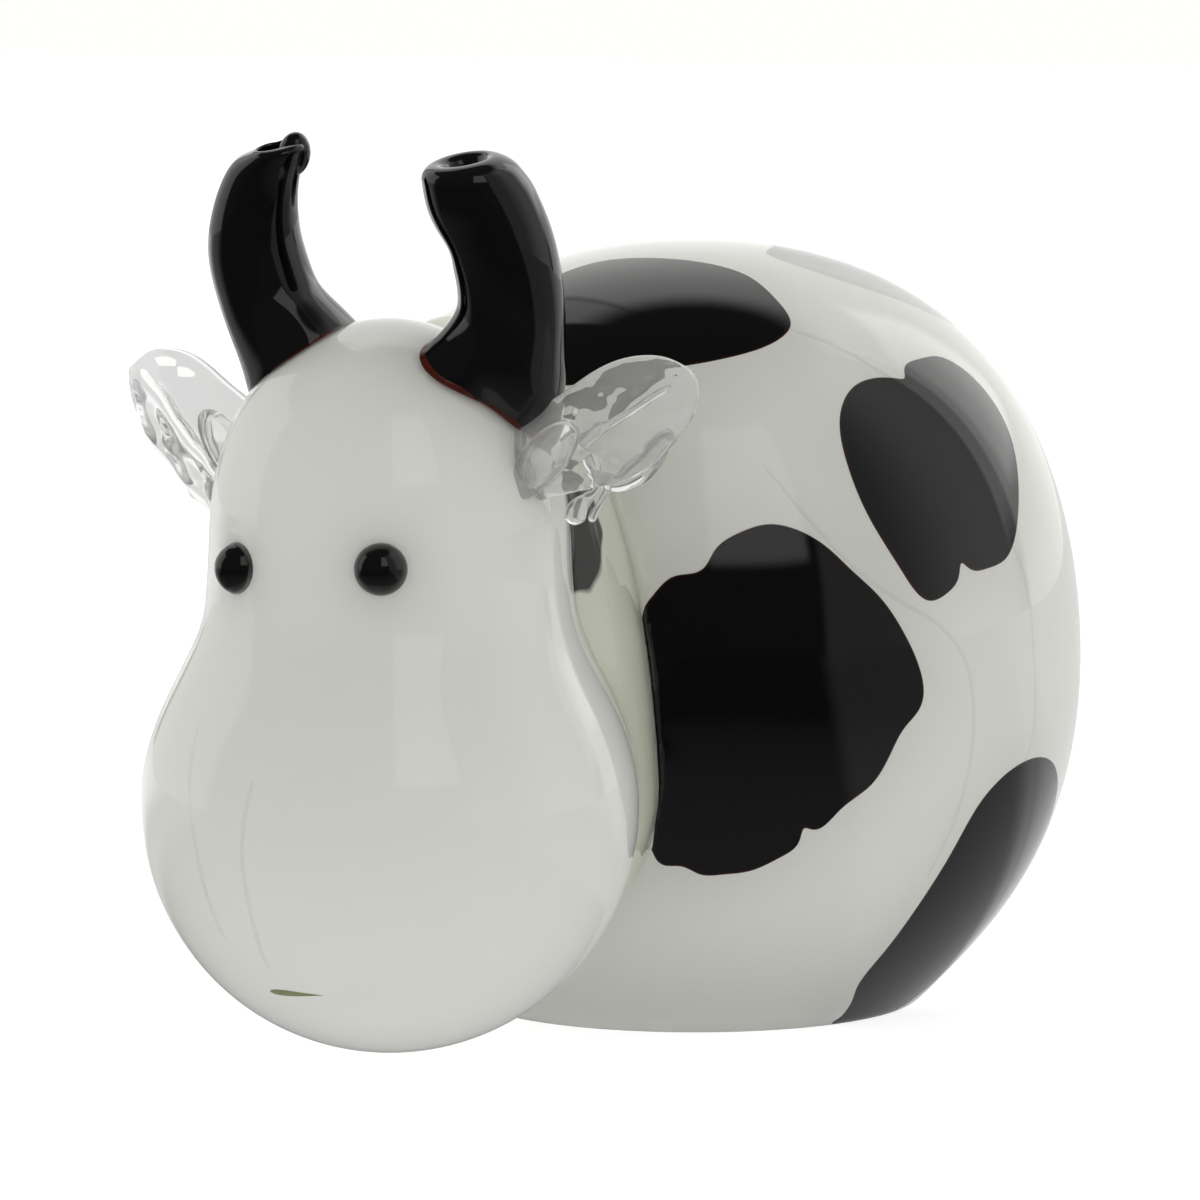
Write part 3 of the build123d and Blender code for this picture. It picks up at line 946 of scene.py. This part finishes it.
# %% A thread of glass
def thread(name, path, radii, node, rows=70, steps=40):
    """Circles square to a smooth path; the radius runs through the listed values."""
    centre = smooth_curve(path, rows)
    way = unit(np.gradient(centre, axis=0))
    side = unit(np.cross(way, (0.13, 0.97, 0.2)))
    front = np.cross(way, side)
    turn = once_round(steps)[:, None]
    spread = np.interp(np.linspace(0, 1, rows), np.linspace(0, 1, len(radii)), radii)
    spread = np.convolve(np.pad(spread, 3, mode="edge"), np.ones(7) / 7, mode="valid")
    spread *= np.sqrt(np.clip((rows - 1 - np.arange(rows)) / 5, 0.02, 1))
    circle = np.cos(turn) * side[:, None, :] + np.sin(turn) * front[:, None, :]
    rings = centre[:, None, :] + spread[:, None, None] * circle
    piece = skin(name, rings, first=centre[0] - way[0] * 0.2, last=centre[-1] + way[-1] * 0.05)
    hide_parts(node)
    return piece

# %% [markdown]
# Where opal is gathered and twisted it keeps cords: hair-fine grey streaks that follow the turning.
# A few show on the body and the muzzle. Each is a thread of slightly greyer glass, sunk until only
# its back stands a tenth of a millimetre out of the opal.

# %% Cords in the opal
cord_radius = 0.42
cord_sink = 0.33
body_cords = (
    (
        (30, 70.0), (39, 66.3), (45, 61.5), (53, 54.9), (61, 50.3), (68, 47.3), (73, 43.2), (75, 36.4),
        (74, 27.5), (71, 19.7), (68, 10.4),
    ),
    ((80, 60.5), (88, 53.3), (90, 43.2), (90, 32.0), (84, 24.8)),
    ((50, 79.0), (62, 77.0), (68, 74.8), (74, 72.4)),
    ((-146, 62.0), (-141, 52.0), (-138, 38.0), (-134, 20.0)),
    ((210, 62.0), (203, 50.0), (200, 32.0), (205, 14.0)),
)
head_cords = (
    ((-0.3, 39.5), (-1.4, 33.8), (-2.1, 27.4), (-1.9, 20.9), (-1.7, 15.7), (-0.9, 13.4)),
    ((-9.9, 43.3), (-10.1, 37.2), (-8.5, 27.9), (-7.0, 20.3), (-4.6, 14.2)),
)


def body_spot(heading, height):
    """The point a little under the body's opal at a heading in degrees and a height."""
    radius = radius_at(opal_profile, height) - cord_sink
    return radius * np.sin(np.radians(heading)), -radius * np.cos(np.radians(heading)), height


def head_spot(aside, height):
    """The point a little under the head's opal at a distance aside and a height."""
    return aside, onto_head(np.array([aside, 0.0, height]), head_casing_wall) + cord_sink, height


cord_paths = [[body_spot(*spot) for spot in path] for path in body_cords]
cord_paths += [[head_spot(*spot) for spot in path] for path in head_cords]
cord_nodes = ["body_opal"] * len(body_cords) + ["head_opal"] * len(head_cords)
cord_radii = (0.3 * cord_radius, cord_radius, cord_radius, cord_radius, cord_radius, 0.3 * cord_radius)
cords = [
    thread(f"cord_{k + 1}", path, cord_radii, node, rows=160, steps=14)
    for k, (path, node) in enumerate(zip(cord_paths, cord_nodes))
]

# %% [markdown]
# At the left ear a drip ran down and froze into two threads, the longer with a bead at its end. The
# leaf's lower edge was rolled over, and a ridge runs along its fold.

# %% Roll, ridge and drips of the left ear
roll_path = (
    (22.7, -62.5, 67.2), (25.1, -62.5, 66.3), (28.0, -62.5, 67.3),
    (30.4, -62.5, 69.5), (32.2, -62.5, 72.1),
)
ridge_path = (
    (22.7, -64.4, 70.2), (24.5, -64.2, 71.8), (27.6, -63.8, 73.4),
    (30.6, -63.4, 75.2), (32.6, -63.0, 76.6),
)
drip_path = (
    (23.6, -64.2, 68.8), (24.2, -63.7, 66.4), (23.1, -63.6, 64.6),
    (21.6, -63.6, 63.2), (21.1, -63.6, 61.4),
)
short_drip_path = ((25.4, -62.9, 67.4), (24.6, -62.8, 65.0), (23.4, -62.9, 63.0), (22.8, -63.0, 61.7))
drawn = {
    "ear_left_roll": (roll_path, (0.7, 1.3, 1.6, 1.3, 0.6)),
    "ear_left_ridge": (ridge_path, (0.9, 0.7, 0.55, 0.5, 0.3)),
    "ear_left_drip": (drip_path, (1.0, 0.55, 0.42, 0.65, 1.15, 1.1)),
    "ear_left_short_drip": (short_drip_path, (0.8, 0.4, 0.36, 0.5)),
}
drips = [thread(name, path, radii, "ear_left") for name, (path, radii) in drawn.items()]

# %% [markdown]
# Finishes. One function turns an sRGB hex colour to the linear values that a renderer mixes, and one
# adds a node with its settings and links. Everything else is spelt out, so that each material can be
# read from top to bottom.

# %% Helpers for materials
NOISE, BUMP, GLASS = "ShaderNodeTexNoise", "ShaderNodeBump", "ShaderNodeBsdfPrincipled"
MATH, MIX, RANGE, VECTOR = "ShaderNodeMath", "ShaderNodeMix", "ShaderNodeMapRange", "ShaderNodeVectorMath"
COORDS, NAMED = "ShaderNodeTexCoord", "ShaderNodeAttribute"


def linear(hex_colour, share=1.0):
    """sRGB to linear light: c / 12.92 for the darkest tones, ((c + 0.055) / 1.055) ^ 2.4 above."""
    c = np.array([int(hex_colour[i:i + 2], 16) for i in (1, 3, 5)]) / 255
    light = np.where(c <= 0.04045, c / 12.92, ((c + 0.055) / 1.055) ** 2.4)
    return (*(light * share).tolist(), 1.0)


def add(tree, kind, sockets=(), **properties):
    """Adds a node. Each socket, by name or number, gets a value or the output that feeds it."""
    node = tree.nodes.new(kind)
    for name, value in properties.items():
        setattr(node, name, value)
    for socket, value in dict(sockets).items():
        if isinstance(value, bpy.types.NodeSocket):
            tree.links.new(value, node.inputs[socket])
        else:
            node.inputs[socket].default_value = value
    return node


def material(name):
    """An empty node material and its output."""
    made = bpy.data.materials.new(name)
    made.use_nodes = True
    made.node_tree.nodes.clear()
    return made, made.node_tree, made.node_tree.nodes.new("ShaderNodeOutputMaterial")


def dress(finish, slot, *pieces):
    """Gives pieces a finish. The slot argument is not used."""
    for piece in pieces:
        piece.data.materials.clear()
        piece.data.materials.append(finish)

# %% [markdown]
# Clear soda-lime glass, fire-polished: nothing but an index of refraction of 1.5, a skin with no
# grain, and a trace of iron that turns only the thick parts green. The green is in the volume, so it
# needs no painting: 2 mm of casing looks clear, 20 mm of neck looks pale olive. A very slow bump
# stands for the ripples that hand-gathered glass keeps. The ears were worked longest, and are full
# of seeds, bubbles too fine to see one by one: part of their light is scattered white, not passed.
# The right ear is thinner and smoother, so it gets a finish of its own.

# %% Clear glass
def clear_glass(name, ripple_mm, ripple_strength, tint, tint_per_metre, clearness=1.0):
    """Clear glass whose bump is a noise with lumps ripple_mm wide, tinted by its depth in metres."""
    made, tree, output = material(name)
    place = add(tree, COORDS).outputs["Object"]
    ripple = add(tree, NOISE, {"Vector": place, "Scale": 1000 / ripple_mm, "Detail": 1.0})
    bump = add(tree, BUMP, {"Height": ripple.outputs["Fac"], "Strength": ripple_strength, "Distance": MM})
    shader = add(tree, GLASS, {
        "Normal": bump.outputs["Normal"], "Base Color": (1.0, 1.0, 1.0, 1.0), "Roughness": 0.0,
        "IOR": 1.5, "Transmission Weight": clearness,
    })
    tree.links.new(shader.outputs["BSDF"], output.inputs["Surface"])
    if tint_per_metre:
        inside = add(tree, "ShaderNodeVolumeAbsorption", {"Color": linear(tint), "Density": tint_per_metre})
        tree.links.new(inside.outputs["Volume"], output.inputs["Volume"])
    return made


casing_glass = clear_glass("clear soda-lime glass, fire-polished", 24.0, 0.10, "#dce9c2", 30.0)
ear_glass = clear_glass("tooled clear glass with fine seeds", 3.2, 0.55, "#dce9c2", 20.0, 0.80)
smooth_ear_glass = clear_glass("tooled clear glass, thin", 6.0, 0.20, "#dce9c2", 20.0, 0.88)
dress(casing_glass, "clear_casing", clear_glass_skin)
dress(ear_glass, "ear_glass", ears[0], *pads, *drips)
dress(smooth_ear_glass, "ear_glass", ears[1])

# %% [markdown]
# White opal is glass clouded by fine crystals. It lies under the casing with no air between, so it
# has no gloss of its own: all gloss comes from the clear skin. The same holds for the cords, the
# shards and the neck's core, so one function makes this matt glass from a colour. The opal is a warm
# grey-white with slow cloudiness, and the cords are a shade greyer.

# %% White opal and its cords
cloud_mm = 28.0
matt = 0.6


def cased(name, colour_of):
    """A matt glass under casing. Its colour is what colour_of makes in the tree."""
    made, tree, output = material(name)
    shader = add(tree, GLASS, {
        "Base Color": colour_of(tree), "Roughness": matt, "IOR": 1.5, "Specular IOR Level": 0.0,
    })
    tree.links.new(shader.outputs["BSDF"], output.inputs["Surface"])
    return made


def cloudy(tree):
    """Two whites mixed by a noise whose lumps are as wide as the clouds."""
    place = add(tree, COORDS).outputs["Object"]
    cloud = add(tree, NOISE, {"Vector": place, "Scale": 1000 / cloud_mm, "Detail": 3.0})
    whites = {"Factor": cloud.outputs["Fac"], 6: linear("#f7f6f4"), 7: linear("#fbfaf9")}
    return add(tree, MIX, whites, data_type="RGBA").outputs[2]


dress(cased("white opal glass under casing", cloudy), "white_opal", body_white, head_white)
dress(cased("grey cord in the opal", lambda tree: linear("#f2f2ef")), "white_opal", *cords)

# %% [markdown]
# In the neck the clear glass is so thick that its iron tints it, and its fine bubbles and the opals
# behind it make it glow pale green rather than look clear. A matt core 1.4 mm under the skin gives
# that glow in any light, where a wholly clear neck would mirror only the dark gap between the bubbles.
# Under the left ear a wavy-edged near-black oval is painted on the core: a painted refraction of
# the black shard behind the neck, seen through its glass.

# %% Pale green depth of the neck, with a painted refraction of a black shard
# where and how large the painted refraction of the black shard lies on the neck's core
painted_refraction_place = (14.8, -55.0, 60.6)
painted_refraction_size = (12.0, 5.4, 7.3)
painted_refraction_wave_mm = 5.0
painted_refraction_wave = 0.7
painted_refraction_edge = (1.42, 1.32)


def with_painted_refraction(tree):
    """Pale green, and a painted near-black refraction of a shard where the distance from its middle, plus
    some noise, is short.
    """
    coords = add(tree, COORDS).outputs["Object"]
    bend = add(tree, NOISE, {"Vector": coords, "Scale": 1000 / painted_refraction_wave_mm, "Detail": 1.0})
    middle, size = ([v * MM for v in values] for values in (painted_refraction_place, painted_refraction_size))
    near = {"Vector": coords, "Location": middle, "Scale": size}
    near = add(tree, "ShaderNodeMapping", near, vector_type="TEXTURE")
    away = add(tree, VECTOR, {0: near.outputs["Vector"]}, operation="LENGTH")
    wavy = {0: bend.outputs["Fac"], 1: painted_refraction_wave, 2: away.outputs["Value"]}
    wavy = add(tree, MATH, wavy, operation="MULTIPLY_ADD")
    inside = {"Value": wavy.outputs["Value"], "From Min": painted_refraction_edge[0], "From Max": painted_refraction_edge[1]}
    inside = add(tree, RANGE, inside)
    # the near-black colour is a painted refraction of the black shard behind the neck
    tones = {"Factor": inside.outputs["Result"], 6: linear("#e6e7da"), 7: linear("#2b2e2b")}
    return add(tree, MIX, tones, data_type="RGBA").outputs[2]


dress(cased("pale green depth of thick glass with a painted refraction", with_painted_refraction), "neck_glass", neck_core)

# %% [markdown]
# Black glass is really a very deep purple or brown glass. A shard is 1 mm thick and opaque, and only
# where it thins out to nothing at its rim does the dark red-brown show. The rim's width is uneven,
# so it is multiplied by a noise. Where a second attribute rises, the colour goes towards pale grey.

# %% Black shards
rim_mm = 0.3
rim_noise_mm = 2.5


def shard_tone(tree):
    """Red-brown to black over the rim's width, then towards pale grey by the second attribute."""
    place = add(tree, COORDS).outputs["Object"]
    ragged = add(tree, NOISE, {"Vector": place, "Scale": 1000 / rim_noise_mm, "Detail": 2.0})
    rim = add(tree, NAMED, attribute_name="rim")
    edge = add(tree, MATH, {0: ragged.outputs["Fac"], 1: 2 * rim_mm}, operation="MULTIPLY")
    inwards = {0: rim.outputs["Fac"], 1: edge.outputs["Value"]}
    inwards = add(tree, MATH, inwards, operation="DIVIDE", use_clamp=True)
    tones = {"Factor": inwards.outputs["Value"], 6: linear("#3c1a14"), 7: linear("#060607")}
    shade = add(tree, MIX, tones, data_type="RGBA")
    # the colour goes towards pale grey where this attribute rises
    grey_side = add(tree, NAMED, attribute_name="grey_side")
    greyed = {"Factor": grey_side.outputs["Fac"], 6: shade.outputs[2], 7: linear("#e9e9e6")}
    return add(tree, MIX, greyed, data_type="RGBA").outputs[2]


dress(cased("black glass shard under casing", shard_tone), "black_glass", *patches)

# %% [markdown]
# The horns and the eyes are the same black glass in the open, fire-polished. It mirrors the studio
# at a twenty-fifth of its light, more towards the edges, which is what draws its shape.

# %% Black glass in the open
drag_mm = 9.0
bare_black, tree, output = material("black glass, fire-polished")
place = add(tree, COORDS).outputs["Object"]
ripple = add(tree, NOISE, {"Vector": place, "Scale": 1000 / drag_mm, "Detail": 1.0})
bump = add(tree, BUMP, {"Height": ripple.outputs["Fac"], "Strength": 0.12, "Distance": MM})
shader = add(tree, GLASS, {
    "Normal": bump.outputs["Normal"], "Base Color": linear("#0b0b0c"), "Roughness": 0.03, "IOR": 1.52,
})
tree.links.new(shader.outputs["BSDF"], output.inputs["Surface"])
eyes = [bpy.data.objects[f"eye_{side}_bead"] for side in ("left", "right")]
dress(bare_black, "black_glass", left_horn, right_horn, knob, *eyes)

# %% [markdown]
# Where a horn's foot thins out on the hot head, light comes through it red-brown. The mouth is a
# smear of olive glass. Both are blotchy, so each is its colour mixed with a darker one by a noise.

# %% Red-brown foot and olive stain
blotch_mm = 1.6
blotch_depth = 0.4


def stain(name, colour, roughness):
    """Glossy glass of a colour, mixed by a noise with blotch_depth of that colour."""
    made, tree, output = material(name)
    place = add(tree, COORDS).outputs["Object"]
    cloud = add(tree, NOISE, {"Vector": place, "Scale": 1000 / blotch_mm, "Detail": 2.0})
    tones = {"Factor": cloud.outputs["Fac"], 6: linear(colour), 7: linear(colour, blotch_depth)}
    shade = add(tree, MIX, tones, data_type="RGBA")
    shader = add(tree, GLASS, {"Base Color": shade.outputs[2], "Roughness": roughness, "IOR": 1.5})
    tree.links.new(shader.outputs["BSDF"], output.inputs["Surface"])
    return made


foot_glass = stain("thin red-brown glass at the horn's foot", "#551a0d", 0.08)
olive_glass = stain("olive stain under casing", "#a9b07c", 0.5)
dress(foot_glass, "red_brown_glass", left_foot, right_foot)
dress(olive_glass, "olive_glass", mouth)

# %% [markdown]
# The inner walls of the two bubbles stay as the CAD made them, behind the opal where nothing shows.
# They only need the same clear glass, with no ripple and no tint.

# %% Inner walls
inner = clear_glass("inner gather of the bubble", 24.0, 0.0, "#eef2e4", 0.0)
for node in ("body_core", "head_core"):
    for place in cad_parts[node].material_slots:
        place.material = inner

# %% [markdown]
# The studio. Glass shows its shape only by what it mirrors and bends, so the studio is laid out as
# cards of light around the cow, each given by the azimuths and elevations that it spans: 0 degrees
# is ahead of the nose and 90 is the cow's own left. A white wall stands behind, grey walls stand at
# the sides, one dim card hangs in front, and the camera's side and the ceiling are nearly black.
# What the glass shows is this map. What lights the white opal is its evened-out sum, for the
# opal scatters light so widely that it couldn't tell one card from the next. Light Path tells the
# two apart, and gives the camera itself plain white.

# %% Studio
front_level = 0.07
# each card: its azimuths, its elevations, its level and the width of its soft edge, in degrees
cards = {
    "white wall behind": (149, 232, -20, 62, 1.15, 4),
    "grey wall at the right": (69, 143, -20, 62, 0.26, 3),
    "its far, brighter part": (104, 143, -20, 62, 0.40, 34),
    "pale wall at the left": (-124, -62, -20, 40, 0.80, 6),
    "lamp on the wall behind": (152, 180, 14, 46, 0.95, 8),
    "corner between the walls": (142, 150, 10, 62, 0.85, 3),
    "corner at the left": (233, 250, 40, 62, 0.90, 4),
    "dim card in front": (34, 66, 19, 58, 0.85, 3),
}
table_level = 0.05
table_cards = {
    "table behind": (138, 262, -95, 95, 0.75, 24),
    "table at the right": (68, 140, -95, 95, 0.24, 6),
    "table at the left": (-124, -62, -95, 95, 0.40, 20),
}
fill_level = 1.09
# each lobe: azimuth, elevation, the angles where it starts and ends to fall off, and its level
fill_lobes = ((200, 10, 40, 110, 0.28), (30, 60, 20, 70, -0.12), (30, 85, 10, 80, -0.16))
# a card's upper and lower edges are this soft, in degrees, and softer if it reaches the ceiling
ceiling_edge = 60
ceiling_soft = 12
level_soft = 4
studio_tint = (1.0, 1.0, 0.985, 1.0)

world = bpy.data.worlds.new("white studio")
bpy.context.scene.world = world
world.use_nodes = True
world.node_tree.nodes.clear()


def within(tree, angle, low, high, soft):
    """1 where an angle lies between low and high degrees, 0 outside, with an edge soft wide."""
    middle, half = (low + high) / 2, (high - low) / 2
    off = add(tree, MATH, {0: angle, 1: middle}, operation="SUBTRACT").outputs[0]
    off = add(tree, MATH, {0: off, 1: 180, 2: -180}, operation="WRAP").outputs[0]
    away = add(tree, MATH, {0: off}, operation="ABSOLUTE").outputs[0]
    edge = {"Value": away, "From Min": half + soft / 2, "From Max": half - soft / 2}
    return add(tree, RANGE, edge, interpolation_type="SMOOTHSTEP").outputs["Result"]


def card_light(tree, direction, base, cards):
    """Base level plus every card: level times its window in azimuth times its window in elevation."""
    axes = add(tree, "ShaderNodeSeparateXYZ", {"Vector": direction}).outputs
    ahead = add(tree, MATH, {0: axes["Y"], 1: -1.0}, operation="MULTIPLY").outputs[0]
    heading = add(tree, MATH, {0: axes["X"], 1: ahead}, operation="ARCTAN2").outputs[0]
    rise = add(tree, MATH, {0: axes["Z"]}, operation="ARCSINE").outputs[0]
    azimuth = add(tree, MATH, {0: heading, 1: 180 / np.pi}, operation="MULTIPLY").outputs[0]
    elevation = add(tree, MATH, {0: rise, 1: 180 / np.pi}, operation="MULTIPLY").outputs[0]
    total = base
    for low_az, high_az, low_el, high_el, level, soft in cards.values():
        wide = within(tree, azimuth, low_az, high_az, soft)
        edge = ceiling_soft if high_el > ceiling_edge else level_soft
        tall = within(tree, elevation, low_el, high_el, edge)
        window = add(tree, MATH, {0: wide, 1: tall}, operation="MULTIPLY").outputs[0]
        total = add(tree, MATH, {0: window, 1: level, 2: total}, operation="MULTIPLY_ADD").outputs[0]
    return total


def lobe(tree, direction, azimuth, elevation, narrow, wide, level):
    """The level inside narrow degrees of a direction, falling softly to nothing at wide degrees."""
    a, e = np.radians(azimuth), np.radians(elevation)
    towards = (np.sin(a) * np.cos(e), -np.cos(a) * np.cos(e), np.sin(e))
    way = add(tree, VECTOR, {0: direction, 1: towards}, operation="DOT_PRODUCT").outputs["Value"]
    near, far = np.cos(np.radians((narrow, wide))).tolist()
    fall = {"Value": way, "From Min": far, "From Max": near, "To Max": level}
    return add(tree, RANGE, fall, interpolation_type="SMOOTHSTEP").outputs["Result"]


def by_ray(tree, mirrored_level, scattered_level, seen_level):
    """One level for what glass mirrors and bends, one for scattered light, one for the camera."""
    path = add(tree, "ShaderNodeLightPath").outputs
    scattered = add(tree, MATH, {0: path["Diffuse Depth"], 1: 1.0}, operation="MINIMUM").outputs[0]
    hidden = {"Factor": scattered, 2: mirrored_level, 3: scattered_level}
    hidden = add(tree, MIX, hidden, data_type="FLOAT").outputs[0]
    shown = {"Factor": path["Is Camera Ray"], 2: hidden, 3: seen_level}
    return add(tree, MIX, shown, data_type="FLOAT").outputs[0]


tree = world.node_tree
output = tree.nodes.new("ShaderNodeOutputWorld")
way = add(tree, COORDS).outputs["Generated"]
fill = fill_level
for values in fill_lobes:
    fill = add(tree, MATH, {0: fill, 1: lobe(tree, way, *values)}, operation="ADD").outputs[0]
level = by_ray(tree, card_light(tree, way, front_level, cards), fill, 1.0)
background = add(tree, "ShaderNodeBackground", {"Strength": level, "Color": studio_tint})
tree.links.new(background.outputs["Background"], output.inputs["Surface"])
print("studio of", len(cards), "cards")

# %% [markdown]
# The table is white paper. The camera sees it as pure white with only a breath of shadow left under
# the cow, and the glass sees it through the same kind of map as the walls, with a painted pool of
# light near the cow in what glass mirrors, where the glass's own light would fall, and a painted
# shadow right under the cow in the scattered light.

# %% Table
table_mesh = bpy.data.meshes.new("table")
table_mesh.from_pydata([(-4, -4, 0), (4, -4, 0), (4, 4, 0), (-4, 4, 0)], [], [(0, 1, 2, 3)])
table = bpy.data.objects.new("table", table_mesh)
bpy.context.scene.collection.objects.link(table)
painted_pool_levels = {"From Min": 0.03, "From Max": 0.25, "To Min": 0.18, "To Max": 0.0}
painted_shadow_levels = {"From Min": 0.032, "From Max": 0.065, "To Min": 0.66, "To Max": 1.12}
seen_glow = 0.86
paper_white = 0.30

made, tree, output = material("white table")
place = add(tree, COORDS).outputs["Object"]
flat_way = add(tree, VECTOR, {0: place}, operation="NORMALIZE").outputs["Vector"]
away = add(tree, VECTOR, {0: place}, operation="LENGTH").outputs["Value"]
# a painted pool of light round the cow, in what the glass mirrors
near = add(tree, RANGE, {"Value": away, **painted_pool_levels}).outputs["Result"]
# a painted shadow right under the cow, in the scattered light
under = add(tree, RANGE, {"Value": away, **painted_shadow_levels}).outputs["Result"]
base = add(tree, MATH, {0: near, 1: table_level}, operation="ADD").outputs[0]
level = by_ray(tree, card_light(tree, flat_way, base, table_cards), under, seen_glow)
paper = add(tree, "ShaderNodeBsdfDiffuse", {"Color": by_ray(tree, 0.0, 0.0, paper_white)})
glow = add(tree, "ShaderNodeEmission", {"Strength": level})
lit = add(tree, "ShaderNodeAddShader", {0: paper.outputs["BSDF"], 1: glow.outputs["Emission"]})
tree.links.new(lit.outputs["Shader"], output.inputs["Surface"])
table_mesh.materials.append(made)

# %% [markdown]
# Last, plain picture settings, so that a colour shows as it is written.

# %% Picture settings
bpy.context.scene.view_settings.view_transform = "Standard"
